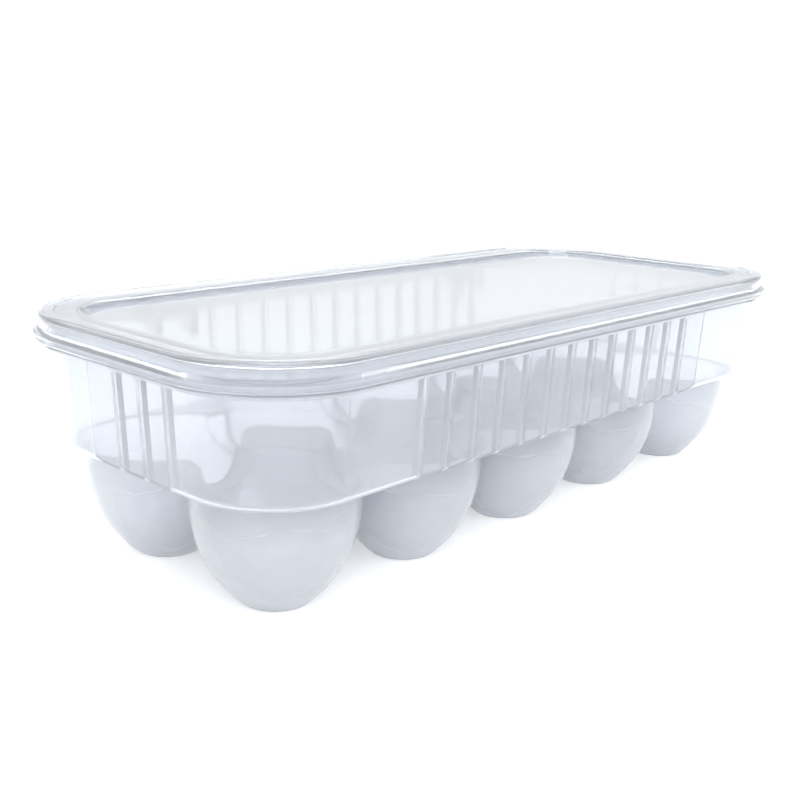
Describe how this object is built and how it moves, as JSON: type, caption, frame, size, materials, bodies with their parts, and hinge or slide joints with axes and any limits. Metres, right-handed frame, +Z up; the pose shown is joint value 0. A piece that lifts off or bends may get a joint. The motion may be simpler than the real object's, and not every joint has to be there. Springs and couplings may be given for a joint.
{
  "type": "egg keeper with flip lid",
  "caption": "Clear rectangular egg keeper with two rows of hanging rounded egg cups, pleated side walls and a hinged flip lid with a shallow recessed window.",
  "frame": {"origin": "on the table, under the middle of the whole plan", "axes": "+X along the two rows of cups, +Y towards the hinges at the back, +Z up"},
  "size_m": [0.2706, 0.126, 0.0736],
  "materials": {
    "tub_plastic": "moulded clear plastic, gloss walls, cups lightly frosted",
    "lid_plastic": "moulded clear gloss plastic"
  },
  "bodies": {
    "tub": {"tub": "tub_plastic"},
    "lid": {"lid": "lid_plastic"}
  },
  "joints": [
    {"name": "lid_hinge", "type": "hinge", "parent": "tub", "child": "lid", "pos_m": [0, 0.05822, 0.0628], "axis": [-1, 0, 0], "range_deg": [0, 110]}
  ]
}
